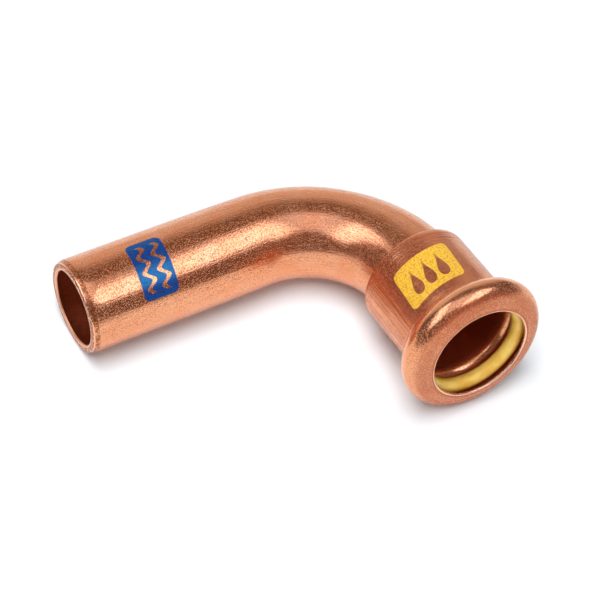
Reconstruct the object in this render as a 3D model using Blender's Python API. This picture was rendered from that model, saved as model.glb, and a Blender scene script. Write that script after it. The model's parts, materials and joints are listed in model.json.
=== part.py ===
# Press elbow for copper pipe: a plain spigot on one leg, a press socket with a seal ring on the other.
# Units are metres, +Z is up. The spigot lies along X with its end at -X, and the socket opens towards -Y.
# The elbow is drawn as a straight turned blank, bent to its angle, and laid down on its side as it rests.

import bpy
import bmesh
from math import acos, atan2, cos, degrees, hypot, pi, radians, sin, sqrt, tan
from mathutils import Vector

# The tube that the fitting is formed from
TUBE_DIAMETER = 0.0150      # outside, the nominal size of the pipe system
TUBE_WALL = 0.0012

# The plain leg
SPIGOT_LENGTH = 0.0309      # from the spigot's end to the start of the bend
SPIGOT_TRUE_LENGTH = 0.0180  # stays at full diameter, so that it can be pressed in another socket
NOSE_LENGTH = 0.0011        # the end is drawn in a little, so that it doesn't cut a seal
NOSE_DROP = 0.00026
EDGE_ROUND = 0.00030        # on both edges of the spigot's end

# The bend
BEND_ANGLE = 90.0           # degrees
BEND_RADIUS = 0.0187        # of the centreline
BEND_WAIST = 0.00032        # radius lost at the middle of the bend
NECK_WAIST = 0.00010        # radius lost where the shoulder starts

# The shoulder between the bend and the socket, which is also the pipe stop inside
SHOULDER_SETBACK = 0.0014   # the shoulder starts this far before the bend ends
SHOULDER_SLOPE = 61.0       # degrees from the axis
SHOULDER_ROOT = 0.00035     # hollow rounding against the bend
SHOULDER_ROUND = 0.0011     # rounding over to the socket
STOP_ROUND = 0.00020        # hollow rounding inside, at the foot of the pipe stop

# The socket
SOCKET_CLEARANCE = 0.00015  # round the pipe, on the radius
SOCKET_WALL = 0.00142
CREST_FROM_BEND = 0.0160    # from the end of the bend to the crest of the bead

# The seal ring
RING_SECTION = 0.0023       # diameter of its section
RING_SQUEEZE = 0.00005      # how far it stands inside the pipe's surface
RING_SIDE_GAP = 0.00035     # to each wall of its groove
RING_TOP_GAP = 0.00050      # to the bottom of its groove, under the crest

# The bead that holds the ring
BEAD_WALL = 0.00154         # at the crest
GROOVE_ROUND = 0.0007       # corners at the bottom of the groove
GROOVE_EDGE_ROUND = 0.0016  # from the groove's rear wall into the socket
BEAD_REAR_ROUND = 0.00254
BEAD_FRONT_ROUND = 0.00226
BEAD_FILLET = 0.0012        # hollow between the socket and the bead

# The mouth
MOUTH_CLEARANCE = 0.00054   # round the pipe, on the radius
MOUTH_REACH = 0.00275       # from the crest to the mouth
LIP_FLAT = 0.00035          # flat ring at the very front
LIP_ROUND = 0.00020
LIP_LAND = 0.00045          # depth of the lip at its smallest diameter
LIP_FLARE = 60.0            # degrees from the axis, behind the lip

# Facets: round the axis, along the tube, and in each rounding of the profile
SIDES = 40
RING_SECTION_SIDES = 14
BEND_STEPS = 15
BLEND_STEPS = 5
INNER_BLEND_STEPS = 3
EDGE_STEPS = 3
INNER_EDGE_STEPS = 2
SHOULDER_STEPS = 4
STOP_STEPS = 3
FILLET_STEPS = 4
BEAD_STEPS = 6
GROOVE_STEPS = 3
GROOVE_EDGE_STEPS = 5
SHARP_ANGLE = 40.0          # degrees, above which an edge isn't shaded smooth

COPPER_COLOUR = (0.78, 0.38, 0.22, 1.0)
COPPER_ROUGHNESS = 0.28
SEAL_COLOUR = (0.72, 0.45, 0.10, 1.0)
SEAL_ROUGHNESS = 0.45

TUBE_RADIUS = TUBE_DIAMETER / 2
BEND_LENGTH = BEND_RADIUS * radians(BEND_ANGLE)
BEND_END = SPIGOT_LENGTH + BEND_LENGTH
SHOULDER_START = BEND_END - SHOULDER_SETBACK
CREST = BEND_END + CREST_FROM_BEND
MOUTH = CREST + MOUTH_REACH

SOCKET_BORE = TUBE_RADIUS + SOCKET_CLEARANCE
SOCKET_RADIUS = SOCKET_BORE + SOCKET_WALL
MOUTH_RADIUS = TUBE_RADIUS + MOUTH_CLEARANCE

RING_RADIUS = TUBE_RADIUS - RING_SQUEEZE + RING_SECTION / 2
GROOVE_HALF = RING_SECTION / 2 + RING_SIDE_GAP
GROOVE_RADIUS = RING_RADIUS + RING_SECTION / 2 + RING_TOP_GAP
CREST_RADIUS = GROOVE_RADIUS + BEAD_WALL


def arc(x, r, radius, start, end, steps):
    """Points on an arc, with angles in degrees from +x towards +r."""
    points = []
    for step in range(steps + 1):
        angle = radians(start + (end - start) * step / steps)
        points.append((x + radius * cos(angle), r + radius * sin(angle)))
    return points


def tube_radius(x):
    """Outside radius of the tube: full on the spigot, waisted through the bend."""
    middle = SPIGOT_LENGTH + BEND_LENGTH / 2
    if x <= SPIGOT_TRUE_LENGTH:
        return TUBE_RADIUS
    if x <= middle:
        part = (x - SPIGOT_TRUE_LENGTH) / (middle - SPIGOT_TRUE_LENGTH)
        return TUBE_RADIUS - BEND_WAIST * part * part * (3 - 2 * part)
    part = min(1.0, (x - middle) / (SHOULDER_START - middle))
    return TUBE_RADIUS - BEND_WAIST + (BEND_WAIST - NECK_WAIST) * part * part * (3 - 2 * part)


def tube_stations(blend_steps):
    """Places along the tube that need a ring, from the true length of the spigot to the shoulder."""
    blend = SPIGOT_LENGTH - SPIGOT_TRUE_LENGTH
    stations = [SPIGOT_TRUE_LENGTH + blend * step / blend_steps for step in range(blend_steps)]
    bend = SHOULDER_START - SPIGOT_LENGTH
    stations += [SPIGOT_LENGTH + bend * step / BEND_STEPS for step in range(BEND_STEPS)]
    return stations


def shoulder(x, low, high, low_round, high_round, steps):
    """A rise from one radius to another: a rounding, a straight slope and a rounding back."""
    rise = high - low
    rounds = low_round + high_round
    slope = radians(SHOULDER_SLOPE)
    if rise < rounds * (1 - cos(slope)):
        slope = acos(1 - rise / rounds)
    straight = max(0.0, rise - rounds * (1 - cos(slope))) / sin(slope)
    end = x + rounds * sin(slope) + straight * cos(slope)
    turn = degrees(slope)
    return (arc(x, low + low_round, low_round, -90, -90 + turn, steps)
            + arc(end, high - high_round, high_round, 90 + turn, 90, steps))


def outer_profile():
    """Outside of the blank, from the edge of the spigot's end to the flat ring at the mouth."""
    nose_radius = TUBE_RADIUS - NOSE_DROP
    nose_slope = degrees(atan2(NOSE_DROP, NOSE_LENGTH))
    points = arc(EDGE_ROUND, nose_radius - EDGE_ROUND, EDGE_ROUND, 180, 90 + nose_slope, EDGE_STEPS)
    points.append((NOSE_LENGTH, TUBE_RADIUS))
    points += [(x, tube_radius(x)) for x in tube_stations(BLEND_STEPS)]
    points += shoulder(SHOULDER_START, tube_radius(SHOULDER_START), SOCKET_RADIUS,
                       SHOULDER_ROOT, SHOULDER_ROUND, SHOULDER_STEPS)

    # The fillet touches both the socket and the rear rounding of the bead
    rear_centre = CREST_RADIUS - BEAD_REAR_ROUND
    fillet_centre = SOCKET_RADIUS + BEAD_FILLET
    rise = fillet_centre - rear_centre
    run = sqrt((BEAD_REAR_ROUND + BEAD_FILLET) ** 2 - rise ** 2)
    meet = degrees(atan2(rise, -run))
    points += arc(CREST - run, fillet_centre, BEAD_FILLET, -90, meet - 180, FILLET_STEPS)
    points += arc(CREST, rear_centre, BEAD_REAR_ROUND, meet, 90, BEAD_STEPS)[1:]

    # The front face is a cone from the flat ring, tangent to the front rounding of the bead
    front_centre = CREST_RADIUS - BEAD_FRONT_ROUND
    lip_edge = MOUTH_RADIUS + LIP_ROUND + LIP_FLAT
    reach = hypot(MOUTH_REACH, lip_edge - front_centre)
    tangent = degrees(atan2(lip_edge - front_centre, MOUTH_REACH) + acos(BEAD_FRONT_ROUND / reach))
    points += arc(CREST, front_centre, BEAD_FRONT_ROUND, 90, tangent, BEAD_STEPS)[1:]
    points.append((MOUTH, lip_edge))
    return points


def inner_profile():
    """Inside of the blank, from the flat ring at the mouth back to the spigot's end."""
    points = arc(MOUTH - LIP_ROUND, MOUTH_RADIUS + LIP_ROUND, LIP_ROUND, 0, -90, INNER_EDGE_STEPS)
    land_end = MOUTH - LIP_LAND
    front_wall = CREST + GROOVE_HALF
    flare_rise = (land_end - front_wall) * tan(radians(LIP_FLARE))
    points.append((land_end, MOUTH_RADIUS))
    points.append((front_wall, MOUTH_RADIUS + flare_rise))

    corner = GROOVE_RADIUS - GROOVE_ROUND
    rear_wall = CREST - GROOVE_HALF
    points += arc(front_wall - GROOVE_ROUND, corner, GROOVE_ROUND, 0, 90, GROOVE_STEPS)
    points += arc(rear_wall + GROOVE_ROUND, corner, GROOVE_ROUND, 90, 180, GROOVE_STEPS)
    points += arc(rear_wall - GROOVE_EDGE_ROUND, SOCKET_BORE + GROOVE_EDGE_ROUND, GROOVE_EDGE_ROUND,
                  0, -90, GROOVE_EDGE_STEPS)

    # The wall keeps its thickness round the root of the shoulder, and its slope inside stops the pipe
    neck_bore = tube_radius(SHOULDER_START) - TUBE_WALL
    stop = shoulder(SHOULDER_START, neck_bore, SOCKET_BORE,
                    SHOULDER_ROOT + TUBE_WALL, STOP_ROUND, STOP_STEPS)
    points += reversed(stop)
    points += [(x, tube_radius(x) - TUBE_WALL) for x in reversed(tube_stations(INNER_BLEND_STEPS))]

    bore = TUBE_RADIUS - TUBE_WALL
    nose_bore = bore - NOSE_DROP
    points.append((NOSE_LENGTH, bore))
    points.append((EDGE_ROUND, nose_bore))
    points += arc(EDGE_ROUND, nose_bore + EDGE_ROUND, EDGE_ROUND, -90, -180, INNER_EDGE_STEPS)[1:]
    return points


def bent(point):
    """Where a point of the straight blank lies once the tube is bent, with the legs' axes meeting at 0."""
    corner = BEND_RADIUS * tan(radians(BEND_ANGLE) / 2)
    x, y, z = point
    if x <= SPIGOT_LENGTH:
        return Vector((x - SPIGOT_LENGTH - corner, y, z))
    turn = min(x - SPIGOT_LENGTH, BEND_LENGTH) / BEND_RADIUS
    beyond = max(0.0, x - BEND_END)
    arm = BEND_RADIUS + y
    return Vector((arm * sin(turn) + beyond * cos(turn) - corner,
                   arm * cos(turn) - beyond * sin(turn) - BEND_RADIUS, z))


def lie_angle():
    """Tilt about the spigot's axis at which the tube and the bead both touch the floor."""
    turn = radians(BEND_ANGLE)
    ring = CREST_RADIUS - BEAD_REAR_ROUND
    side = -bent((CREST, 0.0, 0.0)).y
    low, high = 0.0, pi / 4
    for _ in range(60):
        tilt = (low + high) / 2
        lean = sin(turn) * sin(tilt)
        bead_bottom = side * sin(tilt) - ring * sqrt(1 - lean * lean) - BEAD_REAR_ROUND
        if bead_bottom < -TUBE_RADIUS:
            low = tilt
        else:
            high = tilt
    return tilt


def make_material(name, colour, roughness, metallic):
    material = bpy.data.materials.new(name)
    material.use_nodes = True
    shader = material.node_tree.nodes["Principled BSDF"]
    shader.inputs["Base Color"].default_value = colour
    shader.inputs["Roughness"].default_value = roughness
    shader.inputs["Metallic"].default_value = metallic
    material.diffuse_color = colour
    return material


def turn_and_bend(name, profile, material, parent):
    """Turn a closed profile round the blank's axis and bend the result with the tube."""
    bm = bmesh.new()
    verts = [bm.verts.new((x, 0.0, r)) for x, r in profile]
    edges = [bm.edges.new((verts[i - 1], verts[i])) for i in range(len(verts))]
    bmesh.ops.spin(bm, geom=verts + edges, cent=(0, 0, 0), axis=(1, 0, 0),
                   angle=2 * pi, steps=SIDES, use_merge=True)
    for vert in bm.verts:
        vert.co = bent(vert.co)
    bmesh.ops.recalc_face_normals(bm, faces=bm.faces)
    mesh = bpy.data.meshes.new(name)
    bm.to_mesh(mesh)
    bm.free()
    mesh.materials.append(material)
    mesh.shade_smooth()
    mesh.set_sharp_from_angle(angle=radians(SHARP_ANGLE))
    piece = bpy.data.objects.new(name, mesh)
    bpy.context.scene.collection.objects.link(piece)
    piece.parent = parent
    return piece


def make_copper_body(parent):
    copper = make_material("copper", COPPER_COLOUR, COPPER_ROUGHNESS, metallic=1.0)
    return turn_and_bend("copper_body", outer_profile() + inner_profile(), copper, parent)


def make_seal_ring(parent):
    seal = make_material("seal", SEAL_COLOUR, SEAL_ROUGHNESS, metallic=0.0)
    step = 360 / RING_SECTION_SIDES
    section = arc(CREST, RING_RADIUS, RING_SECTION / 2, -90, 270 - step, RING_SECTION_SIDES - 1)
    return turn_and_bend("seal_ring", section, seal, parent)


def lay_down(frame):
    """Tilt the elbow to its rest and put the middle of its footprint at the origin."""
    tilt = lie_angle()
    frame.rotation_euler = (-tilt, 0.0, 0.0)
    turned = frame.rotation_euler.to_matrix()
    corners = [turned @ vert.co for piece in frame.children for vert in piece.data.vertices]
    low = Vector([min(corner[axis] for corner in corners) for axis in range(3)])
    high = Vector([max(corner[axis] for corner in corners) for axis in range(3)])
    frame.location = (-(low.x + high.x) / 2, -(low.y + high.y) / 2, -low.z)


def main():
    for thing in list(bpy.data.objects):
        bpy.data.objects.remove(thing, do_unlink=True)
    frame = bpy.data.objects.new("elbow_frame", None)
    bpy.context.scene.collection.objects.link(frame)
    make_copper_body(frame)
    make_seal_ring(frame)
    lay_down(frame)
    bpy.context.view_layer.update()


main()
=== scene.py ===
# A copper press elbow for 15 mm pipe, lying on a white table.
import json
from math import acos, atan2, ceil, cos, degrees, hypot, pi, radians, sin, sqrt, tan

import bpy
from mathutils import Matrix, Vector


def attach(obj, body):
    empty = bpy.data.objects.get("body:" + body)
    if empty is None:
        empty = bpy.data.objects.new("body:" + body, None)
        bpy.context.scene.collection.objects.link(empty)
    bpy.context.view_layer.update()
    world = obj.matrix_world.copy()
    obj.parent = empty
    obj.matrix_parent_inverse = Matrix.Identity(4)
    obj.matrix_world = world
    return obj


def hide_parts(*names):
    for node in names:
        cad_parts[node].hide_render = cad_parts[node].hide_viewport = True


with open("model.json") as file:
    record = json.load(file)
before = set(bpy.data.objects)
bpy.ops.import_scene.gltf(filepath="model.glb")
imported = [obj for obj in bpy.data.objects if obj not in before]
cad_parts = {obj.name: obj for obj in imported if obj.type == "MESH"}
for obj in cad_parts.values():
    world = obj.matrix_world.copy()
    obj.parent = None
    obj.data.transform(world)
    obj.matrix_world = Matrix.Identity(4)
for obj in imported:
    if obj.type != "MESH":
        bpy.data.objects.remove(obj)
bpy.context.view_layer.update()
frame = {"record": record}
scene = bpy.context.scene
print("frame loaded")


# The elbow is turned as a straight blank along x, then bent, then laid down as the frame has it.
# Lengths are in metres, angles in degrees, and a profile is a list of (place along the blank, radius).
elbow = {
    "tubeRadius": 0.00750,
    "tubeWall": 0.00120,
    "spigotLength": 0.0309,      # up to the start of the bend
    "trueLength": 0.0180,        # of the spigot that stays at full diameter
    "noseLength": 0.0011,        # drawn in at the open end
    "noseDrop": 0.00026,
    "edgeRound": 0.00030,
    "bendRadius": 0.0187,
    "bendAngle": 90.0,
    "bendWaist": 0.00032,        # radius lost in the middle of the bend
    "neckWaist": 0.00010,        # and where the shoulder starts
    "shoulderSetback": 0.0014,   # from the end of the bend back to the shoulder
    "shoulderSlope": 61.0,
    "shoulderRoot": 0.00022,
    "shoulderRound": 0.0011,
    "stopRound": 0.00020,
    "socketBore": 0.00765,
    "socketRadius": 0.00907,
    "crestFromBend": 0.0160,
    "crestRadius": 0.01179,
    "beadRearRound": 0.00254,
    "beadFrontRound": 0.00226,
    "beadFillet": 0.0012,
    "grooveRadius": 0.01025,
    "grooveHalf": 0.0015,
    "grooveRound": 0.0007,
    "grooveEdgeRound": 0.0016,
    "mouthRadius": 0.00804,
    "mouthReach": 0.00275,       # from the crest to the mouth
    "lipFlat": 0.00035,
    "lipRound": 0.00020,
    "lipLand": 0.00045,
    "lipFlare": 60.0,
    "sides": 256,
    "bendSteps": 84,
    "straightStep": 0.0015,
    "finestStep": 0.00016,       # on a small rounding
    "sharpAngle": 30.0,
}
bendLength = elbow["bendRadius"] * radians(elbow["bendAngle"])
bendEnd = elbow["spigotLength"] + bendLength
shoulderStart = bendEnd - elbow["shoulderSetback"]
crest = bendEnd + elbow["crestFromBend"]
mouth = crest + elbow["mouthReach"]
lipRadius = elbow["mouthRadius"] + elbow["lipRound"]
legCorner = elbow["bendRadius"] * tan(radians(elbow["bendAngle"]) / 2)


def spread(start, end, step):
    # Places from start up to end, without end, no further apart than step
    count = ceil((end - start) / step)
    return [start + (end - start) * i / count for i in range(count)]


def arcPoints(x, r, radius, start, end):
    # Angles in degrees, from +x towards +r
    turn = radians(end - start)
    steps = max(3, ceil(abs(turn) * radius / elbow["finestStep"]))
    angles = [radians(start) + turn * i / steps for i in range(steps + 1)]
    return [(x + radius * cos(a), r + radius * sin(a)) for a in angles]


def tubeRadiusAt(x):
    full, waist, neck = elbow["tubeRadius"], elbow["bendWaist"], elbow["neckWaist"]
    middle = elbow["spigotLength"] + bendLength / 2
    if x <= elbow["trueLength"]:
        return full
    if x <= middle:
        part = (x - elbow["trueLength"]) / (middle - elbow["trueLength"])
        return full - waist * part * part * (3 - 2 * part)
    part = min(1.0, (x - middle) / (shoulderStart - middle))
    return full - waist + (waist - neck) * part * part * (3 - 2 * part)


def tubePlaces():
    places = spread(elbow["noseLength"], elbow["spigotLength"], elbow["straightStep"])[1:]
    return places + spread(elbow["spigotLength"], shoulderStart, bendLength / elbow["bendSteps"])


def shoulderPoints(low, high, lowRound, highRound):
    # A hollow rounding, a straight slope and a rounding over
    rise, rounds, slope = high - low, lowRound + highRound, radians(elbow["shoulderSlope"])
    if rise < rounds * (1 - cos(slope)):
        slope = acos(1 - rise / rounds)
    straight = max(0.0, rise - rounds * (1 - cos(slope))) / sin(slope)
    end = shoulderStart + rounds * sin(slope) + straight * cos(slope)
    turn = degrees(slope)
    return (arcPoints(shoulderStart, low + lowRound, lowRound, -90, -90 + turn)
            + arcPoints(end, high - highRound, highRound, 90 + turn, 90))


def outerProfile():
    # From the flat ring at the spigot's end to the flat ring at the mouth
    nose = elbow["tubeRadius"] - elbow["noseDrop"]
    edge = elbow["edgeRound"]
    noseSlope = degrees(atan2(elbow["noseDrop"], elbow["noseLength"]))
    points = arcPoints(edge, nose - edge, edge, 180, 90 + noseSlope)
    points.append((elbow["noseLength"], elbow["tubeRadius"]))
    points += [(x, tubeRadiusAt(x)) for x in tubePlaces()]
    points += shoulderPoints(tubeRadiusAt(shoulderStart), elbow["socketRadius"],
                             elbow["shoulderRoot"], elbow["shoulderRound"])

    # The fillet touches the socket and the rear rounding of the bead
    rear, fillet = elbow["beadRearRound"], elbow["beadFillet"]
    rise = elbow["socketRadius"] + fillet - (elbow["crestRadius"] - rear)
    run = sqrt((rear + fillet) ** 2 - rise ** 2)
    meet = degrees(atan2(rise, -run))
    socketPlaces = spread(points[-1][0], crest - run, elbow["straightStep"])[1:]
    points += [(x, elbow["socketRadius"]) for x in socketPlaces]
    points += arcPoints(crest - run, elbow["socketRadius"] + fillet, fillet, -90, meet - 180)
    points += arcPoints(crest, elbow["crestRadius"] - rear, rear, meet, 90)[1:]

    # The front face is a cone, tangent to the front rounding of the bead
    front = elbow["beadFrontRound"]
    lipEdge = lipRadius + elbow["lipFlat"]
    drop = lipEdge - elbow["crestRadius"] + front
    reach = hypot(elbow["mouthReach"], drop)
    tangent = degrees(atan2(drop, elbow["mouthReach"]) + acos(front / reach))
    points += arcPoints(crest, elbow["crestRadius"] - front, front, 90, tangent)[1:]
    points.append((mouth, lipEdge))
    return points


def innerProfile():
    # From the lip at the mouth back to the spigot's end
    lip = elbow["lipRound"]
    frontWall = crest + elbow["grooveHalf"]
    rearWall = crest - elbow["grooveHalf"]
    landEnd = mouth - elbow["lipLand"]
    corner, cornerRound = elbow["grooveRadius"] - elbow["grooveRound"], elbow["grooveRound"]
    points = arcPoints(mouth - lip, lipRadius, lip, 0, -90)
    points.append((landEnd, elbow["mouthRadius"]))
    flare = (landEnd - frontWall) * tan(radians(elbow["lipFlare"]))
    points.append((frontWall, elbow["mouthRadius"] + flare))
    points += arcPoints(frontWall - cornerRound, corner, cornerRound, 0, 90)
    points += arcPoints(rearWall + cornerRound, corner, cornerRound, 90, 180)
    grooveEdge = elbow["grooveEdgeRound"]
    points += arcPoints(rearWall - grooveEdge, elbow["socketBore"] + grooveEdge, grooveEdge, 0, -90)
    stop = shoulderPoints(tubeRadiusAt(shoulderStart) - elbow["tubeWall"], elbow["socketBore"],
                          elbow["shoulderRoot"] + elbow["tubeWall"], elbow["stopRound"])
    points += reversed(stop)
    points += [(x, tubeRadiusAt(x) - elbow["tubeWall"]) for x in reversed(tubePlaces())]

    edge, bore = elbow["edgeRound"], elbow["tubeRadius"] - elbow["tubeWall"]
    points.append((elbow["noseLength"], bore))
    points += arcPoints(edge, bore - elbow["noseDrop"] + edge, edge, -90, -180)
    return points


def bentPoint(x, y, z):
    # Where a point of the straight blank lies once bent, with the legs' axes meeting at 0
    if x <= elbow["spigotLength"]:
        return Vector((x - elbow["spigotLength"] - legCorner, y, z))
    turn = min(x - elbow["spigotLength"], bendLength) / elbow["bendRadius"]
    beyond = max(0.0, x - bendEnd)
    arm = elbow["bendRadius"] + y
    return Vector((arm * sin(turn) + beyond * cos(turn) - legCorner,
                   arm * cos(turn) - beyond * sin(turn) - elbow["bendRadius"], z))


def layDown():
    # The frame's socket mount stands on the lip's flat ring, so it gives the elbow's place and lean
    mount = next(m for m in frame["record"]["mounts"] if m["name"] == "socket_mouth")
    lean = Matrix.Rotation(-atan2(mount["axis"][2], -mount["axis"][1]), 4, "X")
    spot = lean @ Vector((lipRadius + elbow["lipFlat"] / 2, -legCorner - (mouth - bendEnd), 0.0))
    return Matrix.Translation(Vector(mount["pos_m"]) - spot) @ lean


def bandedMap(strips, profile, sides):
    # Each strip of the profile gets its own band of the bake's map, in the order of the faces
    edge, gap = 0.005, 0.01      # left free at a band's ends and along its sides
    corners = []
    first = 0
    for band, strip in enumerate(strips):
        runs = [0.0]
        for i in range(first, first + len(strip)):
            here, there = profile[i], profile[(i + 1) % len(profile)]
            runs.append(runs[-1] + hypot(there[0] - here[0], there[1] - here[1]))
        for i in range(len(strip)):
            start, end = [edge + (1 - 2 * edge) * run / runs[-1] for run in runs[i:i + 2]]
            for side in range(sides):
                shares = [gap + (1 - 2 * gap) * step / sides for step in (side, side + 1)]
                low, high = [(band + share) / len(strips) for share in shares]
                corners += [start, low, start, high, end, high, end, low]
        first += len(strip)
    return corners


def ringFaces(rings, sides, closed):
    # From each ring of points to the next, and if closed from the last to the first
    faces = []
    for ring in range(rings if closed else rings - 1):
        near, far = ring * sides, (ring + 1) % rings * sides
        for side in range(sides):
            after = (side + 1) % sides
            faces.append((near + side, near + after, far + after, far + side))
    return faces


def turnAndBend(name, strips, sides, finish):
    # The strips are runs of one closed profile, the first one outside and the second inside
    profile = [point for strip in strips for point in strip]
    inside = [float(band) for band, strip in enumerate(strips) for point in strip]
    place = layDown()
    verts, straight, hidden = [], [], []
    for (x, r), depth in zip(profile, inside):
        for side in range(sides):
            turn = 2 * pi * side / sides
            straight += (x, r * sin(turn), r * cos(turn))
            verts.append(place @ bentPoint(*straight[-3:]))
            hidden.append(depth)

    faces = ringFaces(len(profile), sides, closed=True)
    mesh = bpy.data.meshes.new(name)
    mesh.from_pydata(verts, [], faces)
    mesh.uv_layers.new(name="OFBake").data.foreach_set("uv", bandedMap(strips, profile, sides))
    mesh.attributes.new("blank", "FLOAT_VECTOR", "POINT").data.foreach_set("vector", straight)
    mesh.attributes.new("inside", "FLOAT", "POINT").data.foreach_set("value", hidden)
    mesh.materials.append(finish)
    mesh.shade_smooth()
    mesh.set_sharp_from_angle(angle=radians(elbow["sharpAngle"]))
    piece = bpy.data.objects.new(name, mesh)
    scene.collection.objects.link(piece)
    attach(piece, "root")
    print(name, "has", len(faces), "faces")
    return piece


# Shader sockets that take part in Python expressions
class Wire:
    def __init__(self, finish, socket):
        self.maths = finish.maths
        self.socket = socket

    def __add__(self, other):
        return self.maths("ADD", self, other)

    def __radd__(self, other):
        return self.maths("ADD", other, self)

    def __sub__(self, other):
        return self.maths("SUBTRACT", self, other)

    def __rsub__(self, other):
        return self.maths("SUBTRACT", other, self)

    def __mul__(self, other):
        return self.maths("MULTIPLY", self, other)

    def __rmul__(self, other):
        return self.maths("MULTIPLY", other, self)

    def __truediv__(self, other):
        return self.maths("DIVIDE", self, other)

    def __pow__(self, other):
        return self.maths("POWER", self, other)

    def __abs__(self):
        return self.maths("ABSOLUTE", self)


# The node tree of a material or the world. Colours are red, green and blue.
class Finish:
    def __init__(self, owner, shader="Principled BSDF"):
        owner.use_nodes = True
        self.owner = owner
        self.tree = owner.node_tree
        self.shader = self.tree.nodes[shader]

    def node(self, kind, settings=None, inputs=None, output=0):
        made = self.tree.nodes.new("ShaderNode" + kind)
        for name, value in (settings or {}).items():
            setattr(made, name, value)
        for name, value in (inputs or {}).items():
            self.feed(made.inputs[name], value)
        return Wire(self, made.outputs[output])

    def feed(self, socket, value):
        if isinstance(value, Wire):
            self.tree.links.new(value.socket, socket)
        elif socket.type == "RGBA":
            socket.default_value = (*value, 1.0)
        else:
            socket.default_value = value

    def maths(self, operation, *values):
        return self.node("Math", {"operation": operation}, dict(enumerate(values)))

    def surface(self, inputs):
        for name, value in inputs.items():
            self.feed(self.shader.inputs[name], value)

    def cover(self, share, inputs):
        # A second shader over the first, 0 where it is bare and 1 where it is covered
        over = self.node("BsdfPrincipled", {}, inputs)
        under = Wire(self, self.shader.outputs[0])
        both = self.node("MixShader", {}, {0: share, 1: under, 2: over})
        self.feed(self.tree.nodes["Material Output"].inputs["Surface"], both)

    def split(self, vector):
        parts = self.node("SeparateXYZ", {}, {0: vector}).socket.node.outputs
        return [Wire(self, part) for part in parts]

    def mix(self, factor, first, second):
        # Of two colours, from the first at 0 to the second at 1
        return self.node("Mix", {"data_type": "RGBA"}, {0: factor, 6: first, 7: second}, 2)

    def ease(self, value, low, high, start=0.0, end=1.0):
        # From start where the value is low to end where it is high, eased, and low may be above high
        ends = {"Value": value, "From Min": low, "From Max": high, "To Min": start, "To Max": end}
        return self.node("MapRange", {"interpolation_type": "SMOOTHSTEP"}, ends)

    def band(self, value, middle, half, soft):
        # 1 within half of the middle, and 0 from soft further out
        return self.ease(abs(value - middle), half, half + soft, 1.0, 0.0)

    def stretched(self, vector, scale):
        return self.node("VectorMath", {"operation": "MULTIPLY"}, {0: vector, 1: scale})

    def noise(self, vector, size, detail=2.0, roughness=0.5):
        # Blotches of the given size in metres, around 0.5
        inputs = {"Vector": vector, "Scale": 1 / size, "Detail": detail, "Roughness": roughness}
        return self.node("TexNoise", {"normalize": True}, inputs)

    def bump(self, height):
        return self.node("Bump", {}, {"Strength": 1.0, "Distance": 1.0, "Height": height})


white = (1.0, 1.0, 1.0)
black = (0.0, 0.0, 0.0)

# Satin copper with a fine grain, under a thin uneven film of red-brown oxide. Places are along the blank
# unless a note says otherwise. Two numbers are where a mask is 0 and where it is 1, and three are a
# band's middle, half its width and how far it fades.
copper = {
    "metal": (0.88, 0.39, 0.20),
    "palePatch": (0.91, 0.45, 0.26),
    "redPatch": (0.84, 0.30, 0.13),
    "patchSize": 0.0045,
    "patchDetail": 3.0,
    "patchRange": (0.35, 0.70),  # of the noise, from red to pale
    "patchShare": 0.35,
    "roughness": 0.15,
    "roughnessSpread": 0.12,
    "grainSize": 0.00025,
    "grainRoughness": 0.6,       # of its noise
    "grainHeight": 0.000010,
    "pitSize": 0.00019,
    "pitDetail": 1.0,
    "pitRange": (0.55, 0.68),    # of the noise, from level metal to a pit
    "pitDepth": 0.000022,
    "oxide": (0.37, 0.053, 0.017),
    "oxideRoughness": 0.55,
    "oxideGloss": 0.1,
    "oxideShare": (0.11, 0.34),  # on the level metal and in the pits
    "face": (crest + 0.0014, crest + 0.0021),        # the bead's front
    "faceRoughness": 0.26,
    "faceOxide": 0.40,
    "socket": (bendEnd + 0.0062, 0.0068, 0.0010),
    # More film on the socket: partly real oxide, partly painted shade for the shadowed table it mirrors
    "socketOxideAndShade": 0.20,
    "rubbedHighlight": (crest - 0.0006, 0.0006, 0.0005),      # the top of the bead, worn smooth, and bare of film there as a painted highlight
    "rubbedHighlightShare": 0.7,
    "mouth": (mouth - 0.0006, mouth - 0.0003),
    "rimHighlight": (lipRadius + 0.00006, lipRadius),         # radii of the mouth's edge, where paler metal with no film is a painted highlight
    "rimHighlightMetal": (0.96, 0.58, 0.40),
    "rimPaintedDarkLine": (lipRadius + 0.00024, 0.00002, 0.00006),  # radii of a painted dark line round it, standing for a dark reflection
    # Inside the bore, from behind the groove inwards, the darker, redder metal is painted shade of the
    # hollow
    "bore": (crest - 0.0031, crest - 0.0036),
    "shadedBoreMetal": (0.58, 0.145, 0.055),
    "boreRoughness": 0.42,
    "boreOxide": 0.35,           # share of the film that stays in there
}

# Fine lines along the drawn tube, and round it where it was widened and rolled
toolLines = {
    "size": 0.00026,
    "stretch": 0.03,
    "drawn": 0.000016,           # heights
    "flank": 0.000045,           # on the side of the socket that faces the inside of the bend
    "flankAngle": (-88.0, 22.0, 20.0),
    "socket": (shoulderStart + 0.0075, 0.0050, 0.0015),
    "rolled": {                  # a band and its height
        "shoulder": (shoulderStart + 0.0021, 0.0014, 0.0012, 0.000055),
        "fillet": (crest - 0.0034, 0.0007, 0.0004, 0.000070),
        "face": (crest + 0.0021, 0.0005, 0.0003, 0.000020),
    },
    "oxide": 0.9,                # film at the depth that the flank's height gives
    "scoredPaintedLines": {                  # single rings: a shallow groove, with a darker film line on it that is a painted dark reflection
        "filletEnd": (crest - 0.00250, 0.00004, 0.00006),
        "beadRear": (crest - 0.00150, 0.00002, 0.00005),
    },
    "scoreDepth": 0.000030,
    # film on the scored rings and round the mouth's edge, which paints dark reflections
    "paintedDarkLineFilm": 0.45,
    "scoreRange": (0.30, 0.55, 0.4, 1.0),  # of the patches' noise, and the rings' strength at each
}
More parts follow.
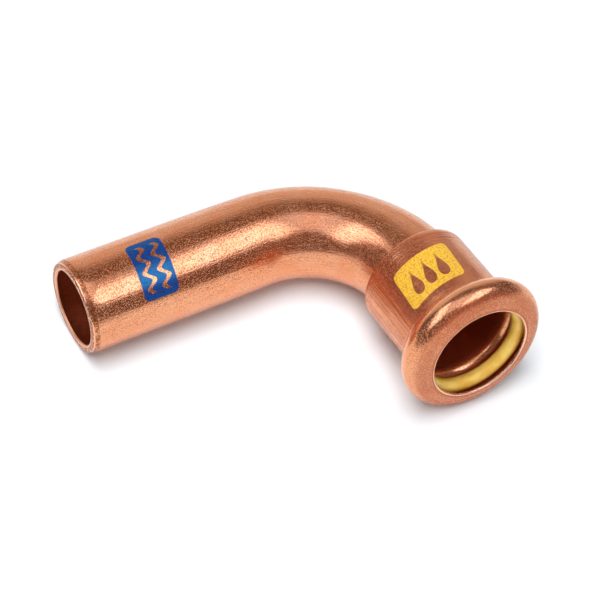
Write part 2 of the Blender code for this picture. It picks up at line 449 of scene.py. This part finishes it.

# The sawn end of the plain leg: pale edges, and speckled painted shade on the outer part of the ring and on
# the nose
cutEnd = {
    "face": (0.00035, 0.00021),
    "metal": (0.90, 0.46, 0.29),
    "endShadeMetal": (0.40, 0.125, 0.050),   # the metal's colour under that painted shade
    "speckledEndShade": (0.17, 0.046, 0.012),
    "speckledEndShadeShare": 0.5,
    "ring": (elbow["tubeRadius"] - 0.00071, 0.00031, 0.00012),   # by radius
    "ringShare": 0.9,
    "nose": (0.00070, 0.00026, 0.00018),
    "noseShare": 0.8,
    "speckSize": 0.00050,
    "speckRoughness": 0.7,       # of their noise
    "speckRange": (0.32, 0.58),
}

# Printed colour fields, placed on the blank by the middle along x and round the tube at the field's radius
prints = {
    "water": {
        "colour": (0.012, 0.044, 0.25),
        "deepColour": (0.006, 0.024, 0.15),
        "glint": (0.04, 0.28, 0.42),
        "cover": 0.72,           # the rest glints on the tinted metal below
        "middle": (0.01210, -0.00380),
        "size": (0.00575, 0.00990),
        "radius": elbow["tubeRadius"],
        "slant": (-0.035, 0.0),
        "corner": 0.0010,
        "roughness": 0.35,
    },
    "gas": {
        "colour": (0.97, 0.55, 0.055),
        "deepColour": (0.60, 0.22, 0.014),
        "glint": (1.0, 0.82, 0.28),
        "cover": 0.92,
        "middle": (bendEnd + 0.007076, -0.00280),
        "size": (0.00730, 0.01020),
        "radius": elbow["socketRadius"],
        "slant": (0.068, 0.085),
        "corner": 0.0009,
        "roughness": 0.45,
    },
}
waves = {
    "lines": (-0.00115, 0.00130),
    "swing": 0.00058,
    "length": 0.0026,
    "stroke": 0.00074,
    "run": 0.0078,
}
drops = {
    "middle": 0.00020,
    "height": 0.0045,
    "width": 0.00175,
    "pitch": 0.00240,
    "count": 3,
    "sideFade": 0.10,            # in squares of half a width
    "tipFade": 0.01,             # in half heights
    "rowFade": 0.00001,
}
inkEdge = 0.00005
inkGrain = {
    "size": 0.00024,
    "roughness": 0.6,            # of its noise
    "range": (0.42, 0.68),
    "share": 0.9,
}


def roundedField(finish, across, up, size, corner):
    # 1 on a rectangle with round corners, 0 off it
    x = abs(across) - (size[0] / 2 - corner)
    y = abs(up) - (size[1] / 2 - corner)
    outX = finish.maths("MAXIMUM", x, 0.0)
    outY = finish.maths("MAXIMUM", y, 0.0)
    inner = finish.maths("MINIMUM", finish.maths("MAXIMUM", x, y), 0.0)
    out = (outX * outX + outY * outY) ** 0.5 + inner - corner
    return finish.ease(out, -inkEdge, inkEdge, 1.0, 0.0)


def wavyLines(finish, across, up):
    # Left bare in the water field
    swing = finish.maths("SINE", up * (2 * pi / waves["length"])) * waves["swing"]
    bare = [finish.band(across - swing, line, waves["stroke"] / 2, inkEdge) for line in waves["lines"]]
    return (bare[0] + bare[1]) * finish.band(up, 0.0, waves["run"] / 2, inkEdge)


def dropShapes(finish, across, up):
    # Left bare in the gas field: a row of drops, their tips towards the bend. A drop's outline, squared, is
    # (1 + t)^3 (1 - t) along its height, from the tip at -1 to the round end at 1.
    fullest = 27 / 16            # the most that the curve reaches, at t = 1/2
    long = (across - drops["middle"]) * (2 / drops["height"])
    row = finish.maths("WRAP", up, drops["pitch"] / 2, -drops["pitch"] / 2) * (2 / drops["width"])
    shape = (1.0 + long) ** 3.0 * (1.0 - long) * (1 / fullest) - row * row
    bare = finish.ease(shape, -drops["sideFade"], drops["sideFade"])
    bare = bare * finish.band(long, 0.0, 1.0, drops["tipFade"])
    return bare * finish.band(up, 0.0, drops["pitch"] * drops["count"] / 2, drops["rowFade"])


def printedInk(finish, along, angle, field, bareShapes):
    # 1 where the field is inked, 0 off it and in its bare shapes
    x = along - field["middle"][0]
    y = angle * field["radius"] - field["middle"][1]
    across, up = x + field["slant"][0] * y, y + field["slant"][1] * x
    ink = roundedField(finish, across, up, field["size"], field["corner"])
    return ink * (1.0 - bareShapes(finish, across, up))


def toolHeights(finish, blank, along, angle):
    thin = toolLines["stretch"]
    lengthwise = finish.noise(finish.stretched(blank, (thin, 1.0, 1.0)), toolLines["size"]) - 0.5
    around = finish.noise(finish.stretched(blank, (1.0, thin, thin)), toolLines["size"]) - 0.5
    side, half, soft = [radians(value) for value in toolLines["flankAngle"]]
    flank = finish.band(along, *toolLines["socket"]) * finish.band(angle, side, half, soft)
    heights = lengthwise * (toolLines["drawn"] + flank * toolLines["flank"])
    for place, half, soft, height in toolLines["rolled"].values():
        heights = heights + around * finish.band(along, place, half, soft) * height
    return heights


def speckledEndShadeMask(finish, blank, along, fromAxis, cut, outside):
    # Speckled painted shade on the outer part of the cut ring and on the nose
    ring = cut * finish.band(fromAxis, *cutEnd["ring"]) * cutEnd["ringShare"]
    nose = finish.band(along, *cutEnd["nose"]) * outside * cutEnd["noseShare"]
    specks = finish.noise(blank, cutEnd["speckSize"], roughness=cutEnd["speckRoughness"])
    return (ring + nose) * finish.ease(specks, *cutEnd["speckRange"])


def copperFinish():
    finish = Finish(bpy.data.materials.new("satinCopper"))
    blank = finish.node("Attribute", {"attribute_name": "blank"}, output="Vector")
    inside = finish.node("Attribute", {"attribute_name": "inside"}, output="Fac")
    outside = 1.0 - inside
    along, y, z = finish.split(blank)
    angle = finish.maths("ARCTAN2", y, z)
    fromAxis = (y * y + z * z) ** 0.5

    # Masks of the places that look different
    bore = inside * finish.ease(along, *copper["bore"])
    face = finish.ease(along, *copper["face"])
    cut = finish.ease(along, *cutEnd["face"])
    atMouth = finish.ease(along, *copper["mouth"])
    rimHighlight = atMouth * finish.ease(fromAxis, *copper["rimHighlight"])
    rubbedHighlight = finish.band(along, *copper["rubbedHighlight"]) * outside * copper["rubbedHighlightShare"]
    speckledEndShade = speckledEndShadeMask(finish, blank, along, fromAxis, cut, outside)

    # Grain, pits and lines
    patches = finish.noise(blank, copper["patchSize"], copper["patchDetail"])
    grain = finish.noise(blank, copper["grainSize"], roughness=copper["grainRoughness"]) - 0.5
    pits = finish.ease(finish.noise(blank, copper["pitSize"], copper["pitDetail"]), *copper["pitRange"])
    pits = pits * (1.0 - rubbedHighlight)
    lines = toolHeights(finish, blank, along, angle) * outside
    # Scored rings: the groove is in the bump, and their darker film is a painted dark reflection
    scoredPaintedLines = sum(finish.band(along, *ring) for ring in toolLines["scoredPaintedLines"].values())
    scoredPaintedLines = scoredPaintedLines * outside * finish.ease(patches, *toolLines["scoreRange"])

    pale = finish.ease(patches, *copper["patchRange"])
    patched = finish.mix(pale, copper["redPatch"], copper["palePatch"])
    metal = finish.mix(copper["patchShare"], copper["metal"], patched)
    # Darker, redder metal in the bore: painted shade
    metal = finish.mix(bore, metal, copper["shadedBoreMetal"])
    # Paler metal on the mouth's edge: a painted highlight
    metal = finish.mix(rimHighlight, metal, copper["rimHighlightMetal"])
    metal = finish.mix(cut, metal, cutEnd["metal"])
    # The end's painted shade darkens the metal as well
    metal = finish.mix(speckledEndShade, metal, cutEnd["endShadeMetal"])
    roughness = copper["roughness"] + copper["roughnessSpread"] * grain
    roughness = roughness + face * (copper["faceRoughness"] - copper["roughness"])
    roughness = roughness + bore * (copper["boreRoughness"] - copper["roughness"])

    # The film's share of the surface: thicker in pits and lines, worn off the cut end, and taken off the
    # bead's worn top and the mouth's edge, where the bare metal is a painted highlight
    level, pitted = copper["oxideShare"]
    film = level + (pitted - level) * pits + face * copper["faceOxide"]
    # Extra film on the socket, partly painted shade
    film = film + finish.band(along, *copper["socket"]) * copper["socketOxideAndShade"]
    film = film - lines * (toolLines["oxide"] / toolLines["flank"])
    # Thicker film round the mouth's edge and on the scored rings paints dark lines: painted dark
    # reflections
    film = film + (scoredPaintedLines + atMouth * finish.band(fromAxis, *copper["rimPaintedDarkLine"])) * toolLines["paintedDarkLineFilm"]
    film = film * (1.0 - bore * (1 - copper["boreOxide"]))
    # Bare metal on the bead's top and the mouth's edge brightens their highlights: painted highlights
    film = film * (1.0 - cut) * (1.0 - rubbedHighlight) * (1.0 - rimHighlight)
    film = finish.maths("MAXIMUM", film, speckledEndShade * cutEnd["speckledEndShadeShare"])
    dull = finish.mix(speckledEndShade, copper["oxide"], cutEnd["speckledEndShade"])
    dullRoughness = copper["oxideRoughness"]

    specks = finish.noise(blank, inkGrain["size"], roughness=inkGrain["roughness"])
    specks = finish.ease(specks, *inkGrain["range"]) * inkGrain["share"]
    for field, bareShapes in ((prints["water"], wavyLines), (prints["gas"], dropShapes)):
        ink = printedInk(finish, along, angle, field, bareShapes) * outside
        dull = finish.mix(ink, dull, finish.mix(specks, field["colour"], field["deepColour"]))
        dullRoughness = dullRoughness + ink * (field["roughness"] - copper["oxideRoughness"])
        metal = finish.mix(ink, metal, field["glint"])
        film = film * (1.0 - ink) + ink * field["cover"]

    height = grain * (2 * copper["grainHeight"]) - pits * copper["pitDepth"]
    bump = finish.bump(height + lines - scoredPaintedLines * toolLines["scoreDepth"])
    finish.surface({"Base Color": metal, "Metallic": 1.0, "Roughness": roughness, "Normal": bump})
    finish.cover(film, {"Base Color": dull, "Roughness": dullRoughness,
                        "Specular IOR Level": copper["oxideGloss"], "Normal": bump})
    return finish.owner


# Mustard yellow rubber, faintly mottled
rubber = {
    "colour": (0.98, 0.64, 0.140),
    "deepColour": (0.86, 0.48, 0.065),
    "mottleSize": 0.0011,
    "mottleDetail": 3.0,
    "mottleStretch": (1.0, 0.4, 0.4),
    "mottleRange": (0.35, 0.65),
    "roughness": 0.22,
    "roughnessSpread": 0.2,
    "grainSize": 0.00032,
    "grainHeight": 0.000012,
    "noiseRoughness": 0.6,
}


def rubberFinish():
    finish = Finish(bpy.data.materials.new("yellowRubber"))
    blank = finish.node("Attribute", {"attribute_name": "blank"}, output="Vector")
    streaks = finish.stretched(blank, rubber["mottleStretch"])
    mottle = finish.noise(streaks, rubber["mottleSize"], rubber["mottleDetail"], rubber["noiseRoughness"])
    grain = finish.noise(blank, rubber["grainSize"], roughness=rubber["noiseRoughness"])
    pale = finish.ease(mottle, *rubber["mottleRange"])
    colour = finish.mix(pale, rubber["deepColour"], rubber["colour"])
    roughness = rubber["roughness"] + rubber["roughnessSpread"] * (grain - 0.5)
    bump = finish.bump(grain * rubber["grainHeight"])
    finish.surface({"Base Color": colour, "Roughness": roughness, "Normal": bump})
    return finish.owner


seal = {
    "section": 0.0023,
    "innerRadius": 0.00745,
    "sectionSides": 48,
    "sides": 256,
}


def makeBody(finish):
    piece = turnAndBend("copperBody", [outerProfile(), innerProfile()], elbow["sides"], finish)
    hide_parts("copper_body")


def makeSeal(finish):
    half = seal["section"] / 2
    angles = [2 * pi * i / seal["sectionSides"] for i in range(seal["sectionSides"])]
    ring = [(crest + half * cos(a), seal["innerRadius"] + half + half * sin(a)) for a in angles]
    piece = turnAndBend("sealRing", [ring], seal["sides"], finish)
    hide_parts("seal_ring")


makeBody(copperFinish())
makeSeal(rubberFinish())
print("elbow and seal made")


# The photograph's viewing angle
view = {
    "location": (-0.13007, -0.18649, 0.29134),
    "right": (0.871416, -0.483939, 0.080236),
    "up": (0.334068, 0.705227, 0.625343),
    "lens": 144.53,
    "sensor": 36.0,
}


def aimCamera():
    right, up = Vector(view["right"]), Vector(view["up"])
    turn = Matrix((right, up, right.cross(up))).transposed()
    camera = bpy.data.cameras.new("camera")
    camera.lens = view["lens"]
    camera.sensor_width = view["sensor"]
    holder = bpy.data.objects.new("camera", camera)
    holder.matrix_world = Matrix.Translation(view["location"]) @ turn.to_4x4()
    scene.collection.objects.link(holder)
    scene.camera = holder


# White table and white surroundings. Two long soft boxes hang either side of the camera's line with a
# dimmer sheet between, and dark cloth hangs round the table, open towards a pale sheet on the far side.
studio = {
    "target": (0.0, 0.0, 0.01),
    "line": 57.0,                # azimuth of the lamps' long sides
    # Lamps that only mirror in the copper, and lamps that only light dull surfaces: degrees along the
    # line and across it from overhead, metres away, metres long and wide, radiance
    "mirrored": {
        "leftBox": (-15.0, 34.0, 0.60, 0.62, 0.28, 2.3),
        "rightBox": (-6.0, -31.0, 0.60, 0.56, 0.28, 2.3),
        "ceiling": (-12.0, 2.0, 0.70, 0.60, 0.36, 0.92),
    },
    "unmirrored": {
        "keyLamp": (-11.0, 7.0, 1.20, 1.00, 0.72, 7.4),
        "frontLamp": (-62.0, -22.0, 0.90, 0.40, 0.40, 4.3),
    },
    "boxColour": (1.0, 1.06, 1.22),
    "clothRadius": 1.4,
    "clothRings": 12,
    "clothSides": 48,
    "cloth": (0.135, 0.115, 0.105),    # as the copper mirrors it
    "clothFill": (0.06, 0.13, 0.16),   # its light on dull surfaces
    "sheet": (0.78, 0.75, 0.71),
    "sheetHeight": (0.82, 0.38),     # sine of the elevation where it ends and where it is full
    "sheetAzimuth": 78.0,
    "sheetSpread": (0.60, 0.90),     # cosine of the angle from there, where it starts and is full
    "tableHalf": 3.0,
    "tableGap": 0.00002,         # below the elbow
    "table": (0.92, 0.93, 0.95),
    "tableRoughness": 0.9,
    "fadeStart": 0.12,           # the table turns plain white from here outwards
    "fadeEnd": 0.45,
}


def heading(azimuth):
    return Vector((cos(radians(azimuth)), sin(radians(azimuth)), 0.0))


def overhead(along, across):
    # A direction from the table, in degrees from straight up
    tilt = hypot(along, across)
    flat = heading(studio["line"] + degrees(atan2(across, along)))
    return (flat * sin(radians(tilt)) + Vector((0.0, 0.0, cos(radians(tilt))))).normalized()


def hangLamp(name, along, across, distance, length, width, radiance):
    light = bpy.data.lights.new(name, "AREA")
    light.shape = "RECTANGLE"
    light.size, light.size_y = length, width
    light.energy = radiance * pi * length * width
    holder = bpy.data.objects.new(name, light)
    away = overhead(along, across)
    side = away.cross(heading(studio["line"])).normalized()
    turn = Matrix((side.cross(away), side, away)).transposed()
    holder.matrix_world = Matrix.Translation(Vector(studio["target"]) + away * distance) @ turn.to_4x4()
    holder.visible_camera = False
    scene.collection.objects.link(holder)
    return holder


def raysThatShowIt(finish):
    # 1 for the camera's own rays and for those that mirror or pass through
    rays = [finish.node("LightPath", output=name)
            for name in ("Is Camera Ray", "Is Glossy Ray", "Is Transmission Ray")]
    return finish.maths("MINIMUM", rays[0] + rays[1] + rays[2], 1.0)


def lightRoom():
    finish = Finish(bpy.data.worlds.new("whiteRoom"), "Background")
    colour = finish.mix(raysThatShowIt(finish), studio["cloth"], white)
    finish.surface({"Color": colour, "Strength": 1.0})
    scene.world = finish.owner
    for name, lamp in studio["mirrored"].items():
        box = hangLamp(name, *lamp)
        box.visible_diffuse = False
        box.data.color = studio["boxColour"]
    for name, lamp in studio["unmirrored"].items():
        hangLamp(name, *lamp).visible_glossy = False


def hangCloth():
    # A dome over the table
    rings, sides = studio["clothRings"], studio["clothSides"]
    verts = []
    for ring in range(rings + 1):
        tilt = pi / 2 * (1 - ring / rings)
        for side in range(sides):
            out = heading(360 * side / sides) * sin(tilt) + Vector((0.0, 0.0, cos(tilt)))
            verts.append(out * studio["clothRadius"])
    mesh = bpy.data.meshes.new("cloth")
    mesh.from_pydata(verts, [], ringFaces(rings + 1, sides, closed=False))
    cloth = bpy.data.objects.new("cloth", mesh)
    cloth.visible_camera = False

    finish = Finish(bpy.data.materials.new("darkCloth"))
    place = finish.node("TexCoord", output="Object")
    direction = finish.node("VectorMath", {"operation": "NORMALIZE"}, {0: place})
    sheetSide = {0: direction, 1: heading(studio["sheetAzimuth"])}
    toSheet = finish.node("VectorMath", {"operation": "DOT_PRODUCT"}, sheetSide, 1)
    height = finish.split(direction)[2]
    flat = (1.0 - height * height) ** 0.5
    leastFlat = 0.01             # keeps the division finite straight overhead
    facing = finish.ease(toSheet / (flat + leastFlat), *studio["sheetSpread"])
    pale = facing * finish.ease(height, *studio["sheetHeight"])
    mirrored = finish.node("LightPath", output="Is Glossy Ray")
    dark = finish.mix(mirrored, studio["clothFill"], studio["cloth"])
    glow = finish.mix(pale, dark, studio["sheet"])
    finish.surface({"Base Color": black, "Specular IOR Level": 0.0,
                    "Emission Color": glow, "Emission Strength": 1.0})
    mesh.materials.append(finish.owner)
    scene.collection.objects.link(cloth)


def layTable():
    half, under = studio["tableHalf"], -studio["tableGap"]
    corners = [(-half, -half, under), (half, -half, under), (half, half, under), (-half, half, under)]
    mesh = bpy.data.meshes.new("table")
    mesh.from_pydata(corners, [], [(0, 1, 2, 3)])
    table = bpy.data.objects.new("table", mesh)

    finish = Finish(bpy.data.materials.new("whiteTable"))
    place = finish.node("TexCoord", output="Object")
    far = finish.node("VectorMath", {"operation": "LENGTH"}, {0: place}, 1)
    fade = finish.ease(far, studio["fadeStart"], studio["fadeEnd"]) * raysThatShowIt(finish)
    colour = finish.mix(fade, studio["table"], black)
    glow = finish.mix(fade, black, white)
    finish.surface({"Base Color": colour, "Roughness": studio["tableRoughness"],
                    "Specular IOR Level": 0.0, "Emission Color": glow, "Emission Strength": 1.0})
    mesh.materials.append(finish.owner)
    scene.collection.objects.link(table)


aimCamera()
lightRoom()
hangCloth()
layTable()
scene.view_settings.view_transform = "Standard"
print("camera, lamps and table set")
